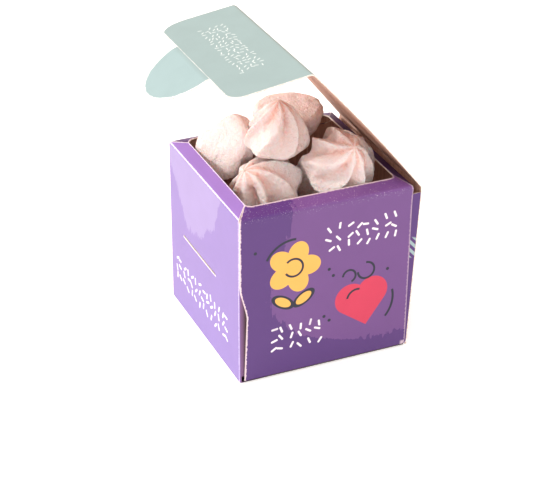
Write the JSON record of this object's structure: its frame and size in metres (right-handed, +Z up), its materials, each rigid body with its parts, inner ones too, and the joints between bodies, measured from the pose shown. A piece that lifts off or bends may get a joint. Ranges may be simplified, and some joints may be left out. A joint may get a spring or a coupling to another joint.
{
  "type": "box of marshmallows",
  "caption": "Open cube-shaped card carton, its lid, tuck flap and lock tab folded up, heaped above the rim with star-piped marshmallow kisses.",
  "frame": {"origin": "centre of the carton's base, on the table", "axes": "+Z up; the printed front faces -Y; the wall with the slit faces -X; the lid's crease runs along Y on the +X side"},
  "size_m": [0.1082, 0.082, 0.1393],
  "materials": {
    "printed_card": "satin",
    "lid_card": "satin",
    "marshmallow": "matte"
  },
  "bodies": {
    "box": {"carton": "printed_card", "kiss_top": "marshmallow", "kiss_front_right": "marshmallow", "kiss_front_left": "marshmallow", "kiss_left": "marshmallow", "kiss_back": "marshmallow", "kiss_right": "marshmallow", "kiss_under_left": "marshmallow", "kiss_under_middle": "marshmallow", "lower_layers": "marshmallow"},
    "lid": {"lid_panel": "lid_card"},
    "flap": {"tuck_flap": "lid_card"},
    "tab": {"lock_tab": "lid_card"}
  },
  "joints": [
    {"name": "lid_crease", "type": "hinge", "parent": "box", "child": "lid", "pos_m": [0.04446, 0, 0.0774], "axis": [0, 1, 0], "range_deg": [-3, 160]},
    {"name": "flap_crease", "type": "hinge", "parent": "lid", "child": "flap", "pos_m": [-0.00785, 0, 0.13886], "axis": [0, 1, 0], "range_deg": [-20, 58]},
    {"name": "tab_crease", "type": "hinge", "parent": "flap", "child": "tab", "pos_m": [-0.04415, 0, 0.1335], "axis": [0, 1, 0], "range_deg": [-40, 20]}
  ]
}
